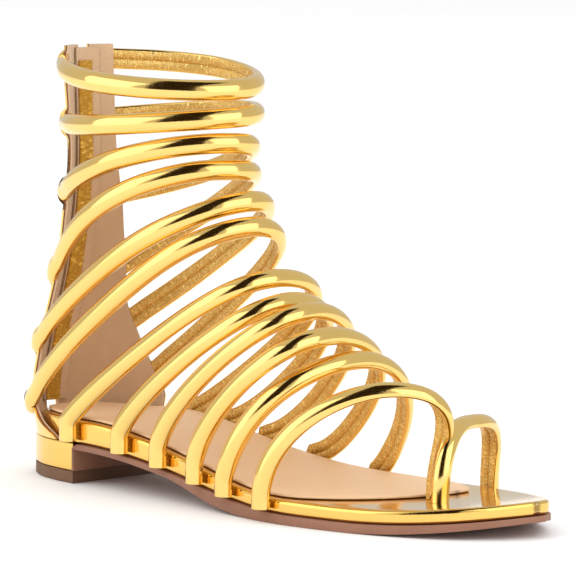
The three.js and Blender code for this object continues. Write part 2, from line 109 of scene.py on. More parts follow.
def alongTable(rows, column, at):
    last = len(rows) - 1
    i = 0
    while i < last - 1 and at > rows[i + 1][0]:
        i += 1

    def slope(k):
        a, b = rows[max(0, k - 1)], rows[min(last, k + 1)]
        return (b[column] - a[column]) / (b[0] - a[0])

    span = rows[i + 1][0] - rows[i][0]
    t = clamp((at - rows[i][0]) / span)
    rise = t * (1 - t) * (1 - t) * span * slope(i)
    fall = t * t * (t - 1) * span * slope(i + 1)
    return mix(rows[i][column], rows[i + 1][column], smooth(t)) + rise + fall


def inShoe(point):
    return (point + heelBack) * mm  # from millimetres off the heel's back to the shoe's frame


mergeDistance = 0.02 * mm


def finishPiece(bm, name, materials, sharpAngle=40, body=shoeBody):
    bmesh.ops.remove_doubles(bm, verts=bm.verts, dist=mergeDistance)
    bmesh.ops.dissolve_degenerate(bm, edges=bm.edges, dist=mergeDistance / 4)
    bmesh.ops.recalc_face_normals(bm, faces=bm.faces)
    mesh = bpy.data.meshes.new(name)
    bm.to_mesh(mesh)
    bm.free()
    for material in materials:
        mesh.materials.append(material)
    mesh.shade_smooth()
    mesh.set_sharp_from_angle(angle=math.radians(sharpAngle))
    piece = bpy.data.objects.new(name, mesh)
    scene.collection.objects.link(piece)
    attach(piece, body)
    return piece


# ---------- effects shared by the materials ----------


def newGroup(name, inputs, outputs):
    group = bpy.data.node_groups.new(name, "ShaderNodeTree")
    for label, kind, value in inputs:
        group.interface.new_socket(name=label, in_out="INPUT", socket_type=kind).default_value = value
    for label, kind in outputs:
        group.interface.new_socket(name=label, in_out="OUTPUT", socket_type=kind)
    return group, group.nodes.new("NodeGroupInput"), group.nodes.new("NodeGroupOutput")


def makeGrainGroup():
    # the height of fine pores over slow swells
    group, source, result = newGroup(
        "leatherGrain",
        [("Pore Scale", "NodeSocketFloat", 900.0), ("Swell Scale", "NodeSocketFloat", 60.0),
         ("Pore Share", "NodeSocketFloat", 0.2)],
        [("Height", "NodeSocketFloat")])
    nodes, links = group.nodes, group.links
    place = nodes.new("ShaderNodeTexCoord")
    pores = nodes.new("ShaderNodeTexVoronoi")
    pores.feature = "F1"
    swell = nodes.new("ShaderNodeTexNoise")
    swell.inputs["Detail"].default_value = 3
    links.new(place.outputs["Object"], pores.inputs["Vector"])
    links.new(place.outputs["Object"], swell.inputs["Vector"])
    links.new(source.outputs["Pore Scale"], pores.inputs["Scale"])
    links.new(source.outputs["Swell Scale"], swell.inputs["Scale"])
    blend = nodes.new("ShaderNodeMix")
    links.new(source.outputs["Pore Share"], blend.inputs[0])
    links.new(swell.outputs["Fac"], blend.inputs[2])
    links.new(pores.outputs["Distance"], blend.inputs[3])
    links.new(blend.outputs[0], result.inputs["Height"])
    return group


def makeToneGroup():
    # two colours mixed by slow patches and fine specks
    group, source, result = newGroup(
        "patchyTone",
        [("Light", "NodeSocketColor", (1, 1, 1, 1)), ("Dark", "NodeSocketColor", (0, 0, 0, 1)),
         ("Patch Scale", "NodeSocketFloat", 40.0), ("Speck Scale", "NodeSocketFloat", 800.0)],
        [("Color", "NodeSocketColor"), ("Mask", "NodeSocketFloat")])
    nodes, links = group.nodes, group.links
    place = nodes.new("ShaderNodeTexCoord")
    patch = nodes.new("ShaderNodeTexNoise")
    patch.inputs["Detail"].default_value = 4
    speck = nodes.new("ShaderNodeTexNoise")
    speck.inputs["Detail"].default_value = 2
    links.new(place.outputs["Object"], patch.inputs["Vector"])
    links.new(place.outputs["Object"], speck.inputs["Vector"])
    links.new(source.outputs["Patch Scale"], patch.inputs["Scale"])
    links.new(source.outputs["Speck Scale"], speck.inputs["Scale"])
    patchShare = nodes.new("ShaderNodeMath")
    patchShare.operation = "MULTIPLY"
    patchShare.inputs[1].default_value = 0.6
    links.new(patch.outputs["Fac"], patchShare.inputs[0])
    both = nodes.new("ShaderNodeMath")
    both.operation = "MULTIPLY_ADD"
    both.inputs[1].default_value = 0.5  # share of the specks
    links.new(speck.outputs["Fac"], both.inputs[0])
    links.new(patchShare.outputs[0], both.inputs[2])
    tone = nodes.new("ShaderNodeMix")
    tone.data_type = "RGBA"
    links.new(both.outputs[0], tone.inputs[0])
    links.new(source.outputs["Light"], tone.inputs[6])
    links.new(source.outputs["Dark"], tone.inputs[7])
    links.new(tone.outputs[2], result.inputs["Color"])
    links.new(both.outputs[0], result.inputs["Mask"])
    return group


def makeCreaseGroup():
    # creases that run across a strap or strip, from its own lengthwise and crosswise distances
    group, source, result = newGroup(
        "creases",
        [("Scale", "NodeSocketFloat", 1.0)],
        [("Crease", "NodeSocketFloat")])  # 0 in a crease, 1 between creases
    nodes, links = group.nodes, group.links
    lengthwise = nodes.new("ShaderNodeAttribute")
    lengthwise.attribute_name = "lengthwise"
    across = nodes.new("ShaderNodeAttribute")
    across.attribute_name = "across"
    squeezed = nodes.new("ShaderNodeMath")
    squeezed.operation = "MULTIPLY"
    squeezed.inputs[1].default_value = 0.35
    links.new(across.outputs["Fac"], squeezed.inputs[0])
    joined = nodes.new("ShaderNodeCombineXYZ")
    links.new(lengthwise.outputs["Fac"], joined.inputs["X"])
    links.new(squeezed.outputs[0], joined.inputs["Y"])
    noise = nodes.new("ShaderNodeTexNoise")
    noise.inputs["Detail"].default_value = 5
    noise.inputs["Roughness"].default_value = 0.65
    links.new(joined.outputs[0], noise.inputs["Vector"])
    links.new(source.outputs["Scale"], noise.inputs["Scale"])
    ridge = nodes.new("ShaderNodeMath")
    ridge.operation = "SUBTRACT"
    ridge.inputs[1].default_value = 0.5
    links.new(noise.outputs["Fac"], ridge.inputs[0])
    folded = nodes.new("ShaderNodeMath")
    folded.operation = "ABSOLUTE"
    links.new(ridge.outputs[0], folded.inputs[0])
    crease = nodes.new("ShaderNodeMapRange")
    crease.inputs["From Max"].default_value = 0.12
    links.new(folded.outputs[0], crease.inputs["Value"])
    links.new(crease.outputs[0], result.inputs["Crease"])
    return group


grainGroup = makeGrainGroup()
toneGroup = makeToneGroup()
creaseGroup = makeCreaseGroup()


def newMaterial(name, spec):
    material = bpy.data.materials.new(name)
    material.use_nodes = True
    nodes, links = material.node_tree.nodes, material.node_tree.links
    shader = nodes["Principled BSDF"]
    tone = nodes.new("ShaderNodeGroup")
    tone.node_tree = toneGroup
    tone.inputs["Light"].default_value = spec["light"] + (1,)
    tone.inputs["Dark"].default_value = spec["dark"] + (1,)
    tone.inputs["Patch Scale"].default_value = spec.get("patch", 40)
    tone.inputs["Speck Scale"].default_value = spec.get("speck", 800)
    links.new(tone.outputs["Color"], shader.inputs["Base Color"])
    rough = nodes.new("ShaderNodeMapRange")
    rough.inputs["From Min"].default_value = 0.3
    rough.inputs["From Max"].default_value = 0.8
    rough.inputs["To Min"].default_value = spec["rough"][0]
    rough.inputs["To Max"].default_value = spec["rough"][1]
    links.new(tone.outputs["Mask"], rough.inputs["Value"])
    links.new(rough.outputs[0], shader.inputs["Roughness"])
    shader.inputs["Metallic"].default_value = spec.get("metallic", 0.0)
    shader.inputs["Sheen Weight"].default_value = spec.get("sheen", 0.0)
    shader.inputs["Sheen Roughness"].default_value = 0.5
    shader.inputs["Specular IOR Level"].default_value = spec.get("specular", 0.5)
    grain = nodes.new("ShaderNodeGroup")
    grain.node_tree = grainGroup
    grain.inputs["Pore Scale"].default_value = spec.get("pore", 900)
    grain.inputs["Swell Scale"].default_value = spec.get("swell", 60)
    grain.inputs["Pore Share"].default_value = spec.get("poreShare", 0.2)
    bump = nodes.new("ShaderNodeBump")
    bump.inputs["Strength"].default_value = spec.get("bump", 0.2)
    bump.inputs["Distance"].default_value = spec.get("depth", 0.0005)
    links.new(grain.outputs["Height"], bump.inputs["Height"])
    links.new(bump.outputs["Normal"], shader.inputs["Normal"])
    if spec.get("crease"):
        creases = nodes.new("ShaderNodeGroup")
        creases.node_tree = creaseGroup
        creases.inputs["Scale"].default_value = spec["crease"]
        fold = nodes.new("ShaderNodeBump")
        fold.inputs["Strength"].default_value = spec.get("creaseStrength", 0.6)
        fold.inputs["Distance"].default_value = 0.0006
        links.new(creases.outputs["Crease"], fold.inputs["Height"])
        links.new(bump.outputs["Normal"], fold.inputs["Normal"])
        links.new(fold.outputs["Normal"], shader.inputs["Normal"])
        # painted shade: in each crease the base colour is mixed towards the darker crease colour
        shade = nodes.new("ShaderNodeMix")
        shade.data_type = "RGBA"
        shade.inputs[6].default_value = spec["creaseShadeColor"] + (1,)
        links.new(creases.outputs["Crease"], shade.inputs[0])
        links.new(tone.outputs["Color"], shade.inputs[7])
        links.new(shade.outputs[2], shader.inputs["Base Color"])
    return material


mirrorGold = newMaterial("mirrorGold", {
    "light": (0.98, 0.7, 0.25), "dark": (0.94, 0.62, 0.18), "metallic": 1.0, "rough": (0.09, 0.15),
    "patch": 30, "speck": 700, "pore": 1400, "swell": 45, "poreShare": 0.06, "bump": 0.1, "depth": 0.001})
boardGold = newMaterial("boardGold", {
    "light": (0.95, 0.63, 0.19), "dark": (0.88, 0.55, 0.13), "metallic": 1.0, "rough": (0.08, 0.14),
    "patch": 24, "speck": 900, "pore": 1500, "swell": 30, "poreShare": 0.05, "bump": 0.1, "depth": 0.0012})
# the crease colours of insideGold and guardGold are painted shade in their creases
insideGold = newMaterial("insideGold", {
    "light": (1.0, 0.8, 0.34), "dark": (1.0, 0.68, 0.2), "metallic": 0.75, "rough": (0.2, 0.34),
    "patch": 90, "speck": 1200, "pore": 1600, "bump": 0.2, "crease": 0.7, "creaseStrength": 0.35,
    "creaseShadeColor": (0.74, 0.45, 0.11)})
guardGold = newMaterial("guardGold", {
    "light": (1.0, 0.7, 0.16), "dark": (0.9, 0.52, 0.06), "metallic": 0.55, "rough": (0.22, 0.4),
    "patch": 200, "speck": 1200, "pore": 700, "bump": 0.5, "crease": 0.45, "creaseStrength": 0.8,
    "creaseShadeColor": (0.66, 0.34, 0.03)})
suede = newMaterial("suede", {
    "light": (0.74, 0.52, 0.34), "dark": (0.6, 0.4, 0.24), "rough": (0.85, 1.0), "sheen": 0.35,
    "patch": 70, "speck": 1800, "pore": 2600, "swell": 300, "poreShare": 0.5, "bump": 0.5, "specular": 0.2})
sockLeather = newMaterial("sockLeather", {
    "light": (0.93, 0.67, 0.43), "dark": (0.84, 0.57, 0.34), "rough": (0.42, 0.6), "patch": 25,
    "speck": 1500, "pore": 1700, "swell": 40, "poreShare": 0.4, "bump": 0.18})
soleLeather = newMaterial("soleLeather", {
    "light": (0.36, 0.17, 0.1), "dark": (0.22, 0.09, 0.05), "rough": (0.45, 0.7), "patch": 60,
    "speck": 1300, "pore": 1200, "poreShare": 0.5, "bump": 0.3})
heelRubber = newMaterial("heelRubber", {
    "light": (0.2, 0.095, 0.04), "dark": (0.12, 0.055, 0.025), "rough": (0.5, 0.75), "patch": 80,
    "speck": 1600, "pore": 1500, "poreShare": 0.6, "bump": 0.35})
rawEdge = newMaterial("rawEdge", {
    "light": (0.3, 0.12, 0.045), "dark": (0.16, 0.05, 0.018), "rough": (0.6, 0.85), "patch": 120,
    "speck": 2200, "pore": 2500, "poreShare": 0.6, "bump": 0.5})
zipCloth = newMaterial("zipCloth", {
    "light": (0.44, 0.33, 0.22), "dark": (0.3, 0.21, 0.13), "rough": (0.85, 1.0), "patch": 50,
    "speck": 2400, "pore": 1800, "poreShare": 0.8, "bump": 0.8, "specular": 0.15})
zipMetal = newMaterial("zipMetal", {
    "light": (0.95, 0.72, 0.36), "dark": (0.75, 0.5, 0.2), "metallic": 1.0, "rough": (0.2, 0.35),
    "patch": 200, "speck": 2000, "bump": 0.15})
print("materials made")

# ---------- sole ----------

soleForm = {"length": 248.0, "seatZ": 24.2, "ballZ": 8.6, "archStart": 45.0, "archEnd": 168.0,
            "springStart": 190.0, "spring": 4.6, "boardHeel": 8.7, "boardFore": 5.0}
outline = [  # distance from the back, half width outer side, half width inner side
    (0, 4.0, 4.0), (3, 9.6, 9.6), (7.5, 14.6, 14.6), (20, 21.6, 21.6), (40, 25.8, 26.0), (70, 28.5, 25.6),
    (100, 31.5, 22.8), (130, 36.9, 26.6), (160, 41.0, 37.6), (185, 39.4, 41.1), (210, 33.4, 37.2),
    (230, 23.4, 26.2), (239, 14.6, 18.2), (244, 8.0, 13.0), (246.5, 3.0, 9.4), (247.6, -0.6, 6.6),
    (248, -2.8, 4.4)]
sideColumn = {"lateral": 1, "medial": 2}


def soleEdge(x, side):
    return alongTable(outline, sideColumn[side], x)


def boardTop(x):
    arched = smooth(clamp((x - soleForm["archStart"]) / (soleForm["archEnd"] - soleForm["archStart"])))
    spring = clamp((x - soleForm["springStart"]) / (soleForm["length"] - soleForm["springStart"]))
    return mix(soleForm["seatZ"], soleForm["ballZ"], arched) + soleForm["spring"] * spring * spring


def boardBottom(x):
    t = smooth(clamp((x - soleForm["archStart"]) / (soleForm["archEnd"] - soleForm["archStart"])))
    return boardTop(x) - mix(soleForm["boardHeel"], soleForm["boardFore"], t)


# ---------- ankle form ----------

ankleForm = [  # height, back, widest place, front, half width, pinch
    (0, 0.6, 40, 215, 24.6, 1.0), (15, 0.2, 40, 205, 25.0, 1.0), (30, -1.8, 45, 195, 28.4, 1.0),
    (52, 2.6, 50, 168, 29.0, 1.0), (70, 8.0, 55, 142, 29.1, 1.03), (84, 11.2, 58, 128, 29.6, 1.09),
    (101, 14.0, 60, 113.6, 30.8, 1.12), (112, 15.0, 60, 109.1, 29.6, 1.14),
    (122, 15.5, 59, 102.3, 28.6, 1.14), (136, 15.4, 58, 104.8, 30.1, 1.14),
    (150, 15.0, 57, 103.7, 32.2, 1.14), (170, 14.6, 56.5, 103.7, 32.6, 1.14)]
quarterReach = [  # height, degrees round from the back on the inner side, on the outer side
    (0, 82, 76), (15, 82, 74), (22, 80, 50), (30, 77, 36), (43, 64, 35), (53, 55, 34), (65, 45, 33),
    (82, 39, 32), (97, 34, 31), (126, 28.5, 28), (153, 25.5, 26), (170, 25, 25)]
reachColumn = {"medial": 1, "lateral": 2}


def onAnkle(z, angle, out):
    back, widest, front, half, pinch = (alongTable(ankleForm, k, z) for k in range(1, 6))
    c = signedPower(math.cos(angle), pinch)
    depth = widest - back if c > 0 else front - widest
    return Vector((widest - c * (depth + out), (half + out) * signedPower(math.sin(angle), pinch), z))


def angleAt(z, distance):
    return math.asin((distance / alongTable(ankleForm, 4, z)) ** (1 / alongTable(ankleForm, 5, z)))


def reachAngle(z, side):
    return math.radians(alongTable(quarterReach, reachColumn[side], z))


# Under the heel the board is set back from the ankle form, and the quarters wrap over its side.
heelWrap = {"level": 15.2, "out": -2.6, "lateral": 31, "medial": 36, "ease": 4, "least": 1.6}


def boardEdge(x, side):
    out = heelWrap["out"]
    back, widest, _, half, pinch = (alongTable(ankleForm, k, heelWrap["level"]) for k in range(1, 6))
    c = clamp((widest - x) / (widest - back + out)) ** (2 / pinch)
    wrapped = min(soleEdge(x, side), (half + out) * (1 - c) ** (pinch / 2))
    free = smooth(clamp((x - heelWrap[side]) / heelWrap["ease"]))
    return max(heelWrap["least"], mix(wrapped, soleEdge(x, side), free))


def rimProfile(q, rounding, half):
    # across a layer from its middle (0) to its side (1): share of the flat, inset from its side,
    # and drop from its top
    flatEnd, arcEnd = 0.7, 0.9
    if q <= flatEnd:
        return q / flatEnd, rounding, 0.0
    if q <= arcEnd:
        turn = math.pi / 2 * (q - flatEnd) / (arcEnd - flatEnd)
        return 1.0, rounding * (1 - math.sin(turn)), rounding * (1 - math.cos(turn))
    return 1.0, 0.0, mix(rounding, half, (q - arcEnd) / (1 - arcEnd))


def soleLayer(name, spec, materials):
    # a grid stretched over the layer's outline and down its rounded rims, with its mirror below
    bm = bmesh.new()
    bmesh.ops.create_grid(bm, x_segments=spec["rows"], y_segments=40, size=0.5)
    top = list(bm.verts)
    grown = bmesh.ops.extrude_face_region(bm, geom=list(bm.faces))["geom"]
    bottom = [g for g in grown if isinstance(g, bmesh.types.BMVert)]
    centre, reach = (spec["from"] + spec["to"]) / 2, (spec["to"] - spec["from"]) / 2
    closing = 0.9  # length over which each end is drawn in to a point
    for verts, level, sign in ((top, spec["top"], -1), (bottom, spec["bottom"], 1)):
        for vert in verts:
            t, q = vert.co.x + 0.5, 2 * vert.co.y
            x = mix(spec["from"], spec["to"], mix(t, smooth(t), 0.85))
            half = (spec["top"](x) - spec["bottom"](x)) / 2
            share, inset, drop = rimProfile(abs(q), min(spec["round"], half), half)
            low, high = -spec["lateral"](x), spec["medial"](x)
            ending = min(1.0, (x - spec["from"]) / closing)
            if not spec.get("squareFront"):
                ending = min(ending, (spec["to"] - x) / closing)
            wide = max(0.0, (high - low) / 2 * math.sqrt(max(0.0, ending)) - inset)
            y = (low + high) / 2 + math.copysign(share * wide, q)
            x = centre + (x - centre) * (1 - inset / reach)
            vert.co = inShoe(Vector((x, y, level(x) + sign * drop)))
    return finishPiece(bm, name, materials, sharpAngle=55)


boardSpec = {"from": 3.4, "to": soleForm["length"], "rows": 150, "round": 1.2,
             "top": boardTop, "bottom": boardBottom,
             "lateral": lambda x: boardEdge(x, "lateral"), "medial": lambda x: boardEdge(x, "medial")}
wrappedBoard = soleLayer("wrapped_board", boardSpec, [boardGold])
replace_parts(wrappedBoard, "midsole_board")

sockForm = {"inset": 3.0, "startX": 7.5, "tipX": 196.0, "tipY": 19.0, "tipHalf": 2.0, "taperX": 150.0,
            "thickness": 1.0, "lift": 0.3}


def sockSide(x, side, sign):
    full = boardEdge(x, side) - sockForm["inset"]
    t = clamp((x - sockForm["taperX"]) / (sockForm["tipX"] - sockForm["taperX"]))
    drawnIn = 1 - math.sqrt(1 - t * t * 0.995)  # short of the tip itself, where the curve stands upright
    return mix(full, sign * sockForm["tipY"] + sockForm["tipHalf"], drawnIn)


sockSpec = {"from": sockForm["startX"], "to": sockForm["tipX"], "rows": 90, "round": 0.35,
            "top": lambda x: boardTop(x) + sockForm["lift"] + sockForm["thickness"],
            "bottom": lambda x: boardTop(x) + sockForm["lift"],
            "lateral": lambda x: sockSide(x, "lateral", -1), "medial": lambda x: sockSide(x, "medial", 1)}
sock = soleLayer("insole_lining", sockSpec, [sockLeather])
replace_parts(sock, "insole_sock")

heelForm = {"breastX": 39.8, "topZ": 15.2, "pieceHeight": 4.6, "gap": 0.3}


def heelLayer(name, low, high, rounding, material):
    spec = {"from": 0.4, "to": heelForm["breastX"], "rows": 60, "round": rounding, "squareFront": True,
            "top": lambda x: high, "bottom": lambda x: low,
            "lateral": lambda x: soleEdge(x, "lateral"), "medial": lambda x: soleEdge(x, "medial")}
    return soleLayer(name, spec, [material])


heelBlock = heelLayer("heel_cover", heelForm["pieceHeight"] + heelForm["gap"], heelForm["topZ"], 0.35,
                      boardGold)
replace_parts(heelBlock, "heel_block")
heelTip = heelLayer("heel_tip", 0, heelForm["pieceHeight"], 0.4, heelRubber)
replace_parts(heelTip, "heel_top_piece")


def refinedCopy(name, node, width, material, body=shoeBody):
    # the CAD's own shape with its hard edges rounded off
    bm = bmesh.new()
    bm.from_mesh(frame["nodes"][node].data)
    bmesh.ops.remove_doubles(bm, verts=bm.verts, dist=mergeDistance)
    bmesh.ops.dissolve_limit(bm, angle_limit=math.radians(1), verts=bm.verts, edges=bm.edges)
    rims = [e for e in bm.edges if e.is_manifold and e.calc_face_angle(0) > math.radians(45)]
    bmesh.ops.bevel(bm, geom=rims, offset=width * mm, offset_type="OFFSET", affect="EDGES", segments=2,
                    profile=0.5, material=-1, clamp_overlap=True)
    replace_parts(finishPiece(bm, name, [material], body=body), node)


refinedCopy("sole_leather", "outsole", 0.3, soleLeather)
print("sole made")

# ---------- straps ----------

strapForm = {"half": 3.95, "thickness": 4.6, "standOff": -0.4, "steps": 96}


def strapSection():
    # crowned outside, nearly flat inside, with the groove where the leather's two folded edges meet
    half, high = strapForm["half"], strapForm["thickness"] / 2
    side = -high + 0.95
    outer = [(half * math.sin(math.radians(a)), side + (high - side) * math.cos(math.radians(a)), 0)
             for a in (-90, -75, -60, -45, -30, -15, 0, 15, 30, 45, 60, 75, 90)]
    corner = [(half * 0.97, -high + 0.45, 0), (half * 0.87, -high + 0.08, 0)]
    floor = [(half * 0.82, -high, 1), (half * 0.45, -high - 0.04, 1), (half * 0.12, -high, 1),
             (0, -high + 0.5, 1)]
    mirrored = [(-w, n, k) for w, n, k in reversed(corner + floor[:3])]
    return outer + corner + floor + mirrored


def evenly(point, steps):
    # points at even distances along a path that runs from 0 to 1
    samples = 900
    fine = [point(i / samples) for i in range(samples + 1)]
    lengths = [0.0]
    for a, b in zip(fine, fine[1:]):
        lengths.append(lengths[-1] + (b - a).length)
    places, k = [], 0
    for i in range(steps + 1):
        goal = lengths[-1] * i / steps
        while k < samples - 1 and lengths[k + 1] < goal:
            k += 1
        t = (goal - lengths[k]) / max(1e-9, lengths[k + 1] - lengths[k])
        places.append(fine[k].lerp(fine[k + 1], clamp(t)))
    return places, lengths[-1]


def sweepStrap(name, point, outward, steps=strapForm["steps"]):
    places, length = evenly(point, steps)
    bm = bmesh.new()
    across = bm.verts.layers.float.new("across")
    lengthwise = bm.verts.layers.float.new("lengthwise")
    inner = bm.verts.layers.float.new("inner")
    ring = []
    for w, n, isInner in strapSection():
        vert = bm.verts.new((w * mm, n * mm, 0))
        vert[across], vert[inner] = w, isInner
        ring.append(vert)
    edges = [bm.edges.new((ring[i - 1], ring[i])) for i in range(len(ring))]
    before = Matrix.Identity(4)
    last = len(places) - 1
    for i, at in enumerate(places):
        tangent = (places[min(last, i + 1)] - places[max(0, i - 1)]).normalized()
        up = outward(at)
        up = (up - tangent * up.dot(tangent)).normalized()
        side = up.cross(tangent)
        turned = Matrix((side, up, tangent)).transposed().to_4x4()
        now = Matrix.Translation(inShoe(at)) @ turned
        if i:
            grown = bmesh.ops.extrude_edge_only(bm, edges=edges)["geom"]
            ring = [g for g in grown if isinstance(g, bmesh.types.BMVert)]
            edges = [g for g in grown if isinstance(g, bmesh.types.BMEdge)]
        bmesh.ops.transform(bm, matrix=now @ before.inverted(), verts=ring)
        for vert in ring:
            vert[lengthwise] = length * i / last
        before = now
    bmesh.ops.holes_fill(bm, edges=[e for e in bm.edges if e.is_boundary], sides=0)
    for face in bm.faces:
        if all(v[inner] > 0.5 for v in face.verts):
            face.material_index = 1
    return finishPiece(bm, name, [mirrorGold, insideGold], sharpAngle=60)


ankleStraps = [  # height at the back, at the crown, how it levels off, rise to the inner side per mm
    (157.4, 150.7, 1.13, 0.06), (134.5, 140.8, 1.03, 0.05), (105.5, 130.1, 1.25, -0.09),
    (71.4, 121.0, 1.49, -0.07), (45.2, 110.1, 1.13, -0.03), (19.8, 101.1, 1.05, -0.16)]


def ankleRing(row):
    backZ, crownZ, level, roll = row
    out = strapForm["standOff"]
    backX = onAnkle(backZ, 0, out).x
    crownX = onAnkle(crownZ, math.pi, out).x

    def height(x, y):
        c = clamp((x - backX) / (crownX - backX))
        return mix(backZ, crownZ, 1 - (1 - c) ** level) + roll * y

    def onRing(angle, lift=0.0):
        point = onAnkle(backZ, angle, out + lift)
        for _ in range(24):
            point = onAnkle(mix(point.z, height(point.x, point.y), 0.5), angle, out + lift)
        return point

    def outward(at):
        # straight out of the ankle form
        back, widest, front, half, pinch = (alongTable(ankleForm, k, at.z) for k in range(1, 6))
        forward = widest - at.x
        depth = widest - back if forward > 0 else front - widest
        cosine = signedPower(forward / depth, 1 / pinch)
        angle = math.atan2(signedPower(at.y / half, 1 / pinch), cosine)
        turn, climb = 0.03, 1.5
        along = onAnkle(at.z, angle + turn, 0) - onAnkle(at.z, angle - turn, 0)
        rise = onAnkle(at.z + climb, angle, 0) - onAnkle(at.z - climb, angle, 0)
        normal = rise.cross(along)
        return normal if normal.dot(Vector((-forward, at.y, 0))) > 0 else -normal

    return onRing, outward


def endAngle(onRing, side):
    # where the ring comes out from between the quarter's two leathers
    sign = 1 if side == "medial" else -1
    angle = 0.5
    for _ in range(14):
        angle = reachAngle(onRing(sign * angle).z, side)
    return angle


tuck = 0.1  # radians that each strap runs on between the quarter's leathers
tuckLift = 1.1  # how far its ends ride outwards there, in mm
liftEase = 0.16  # radians over which they rise to it
ends = {"medial": [], "lateral": []}
for i, row in enumerate(ankleStraps):
    onRing, outward = ankleRing(row)
    start, stop = endAngle(onRing, "lateral"), endAngle(onRing, "medial")
    for side, sign, angle in (("lateral", -1, start), ("medial", 1, stop)):
        here, there = onRing(sign * angle), onRing(sign * (angle - tuck))
        ends[side].append({"z": here.z, "angle": angle, "climb": (there.z - here.z) / tuck})
    first, final = -start + tuck, stop - tuck - 2 * math.pi

    def place(t):
        angle = mix(first, final, t)
        past = max(angle + start, stop - 2 * math.pi - angle)  # how far beyond a quarter's edge, inwards
        return onRing(angle, tuckLift * smooth(clamp(1 + past / liftEase)))

    piece = sweepStrap(f"ankle_band_{i + 1}", place, outward)
    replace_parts(piece, f"ankle_strap_{i + 1}")
print("ankle straps made")

archForm = {"side": 1.02, "lean": 0.7, "riserShare": 0.04, "beside": 1.1, "footLift": 1.0,
            "postLift": 0.1, "postRiser": 3, "flareHeight": 12}


def sideFoot(end, side):
    x, sweep, rise = end
    sign = 1 if side == "medial" else -1
    low = boardBottom(x) + archForm["footLift"]
    at = Vector((x, sign * (soleEdge(x, side) + archForm["beside"] + strapForm["thickness"] / 2), low))
    return {"at": at, "riser": boardTop(x) - low, "sweep": sweep, "rise": rise,
            "flare": (soleEdge(x + 3, side) - soleEdge(x - 3, side)) / 6}


def postFoot(end):
    x, y, sweep, rise = end
    at = Vector((x, y, boardTop(x) + archForm["postLift"]))
    return {"at": at, "riser": archForm["postRiser"], "sweep": sweep, "rise": rise, "flare": 0}


def archPath(feet, crown, side, lean):
    near, far = feet
    tops = [foot["at"] + Vector((0, 0, foot["riser"])) for foot in feet]
    middle = (tops[0] + tops[1]) / 2
    share = archForm["riserShare"]

    def point(t):
        if t < share:
            return near["at"].lerp(tops[0], t / share)
        if t > 1 - share:
            return far["at"].lerp(tops[1], (1 - t) / share)
        turn = math.pi * smooth((t - share) / (1 - 2 * share))
        s, c = max(0.0, math.sin(turn)), math.cos(turn)
        leg = near if c > 0 else far
        base = tops[0].lerp(tops[1], (1 - c) / 2)
        return Vector((base.x + (crown[0] - middle.x) * s ** leg["sweep"],
                       middle.y + (tops[0].y - tops[1].y) / 2 * signedPower(c, side) + crown[1] * s * s,
                       base.z + (crown[2] - middle.z) * s ** leg["rise"]))

    def outward(at):
        foot = near if at.y < middle.y else far
        across = at.y - middle.y
        height = max(0, at.z - middle.z)
        low = clamp(1 - height / archForm["flareHeight"])
        return Vector((lean * height - low * foot["flare"] * abs(across), across, height))

    return point, outward


instepStraps = [  # outer foot (place, sweep, rise), inner foot, crown
    ((39.7, 0.38, 0.33), (48.3, 0.31, 0.36), (129.6, -8.2, 84.0)),
    ((70.4, 0.53, 0.41), (69.1, 0.3, 0.42), (137.4, -7.6, 76.2)),
    ((93.1, 0.58, 0.38), (91.0, 0.32, 0.49), (151.1, -9.1, 73.9)),
    ((116.0, 0.62, 0.37), (115.5, 0.3, 0.49), (162.9, -10.5, 66.1)),
    ((134.4, 0.86, 0.6), (141.6, 0.59, 0.76), (166.4, -0.5, 56.9))]
for i, (outerEnd, innerEnd, crown) in enumerate(instepStraps):
    feet = (sideFoot(outerEnd, "lateral"), sideFoot(innerEnd, "medial"))
    point, outward = archPath(feet, crown, archForm["side"], archForm["lean"])
    piece = sweepStrap(f"instep_band_{i + 1}", point, outward)
    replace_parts(piece, f"instep_strap_{i + 1}")

toeStrap = {"lateral": (156.4, 1.11, 0.72), "post": (200.3, 2.0, 0.97, 0.54), "crown": (197.0, 0.1, 50.0),
            "lean": 0.3}
toeRing = {"post": (207.2, -5.2, 1, 0.78), "medial": (188, 1, 0.52), "crown": (200.6, 0, 35.6),
           "side": 0.74, "steps": 60}
feet = (sideFoot(toeStrap["lateral"], "lateral"), postFoot(toeStrap["post"]))
frontBand = sweepStrap("front_band", *archPath(feet, toeStrap["crown"], archForm["side"], toeStrap["lean"]))
feet = (postFoot(toeRing["post"]), sideFoot(toeRing["medial"], "medial"))
ringPath = archPath(feet, toeRing["crown"], toeRing["side"], 0)
ringBand = sweepStrap("toe_ring_band", *ringPath, steps=toeRing["steps"])
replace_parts(frontBand, "toe_strap_and_ring")
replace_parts(ringBand, "toe_strap_and_ring")
print("instep and toe straps made")

# ---------- quarters ----------

quarterForm = {"lowZ": 15.5, "topZ": 163.5, "zipHalf": 3.2, "rows": 190, "columns": 36, "thickness": 2.0,
               "swell": 3.1, "swellHalf": 5.2, "pocket": 0.25, "pocketLength": 0.26}


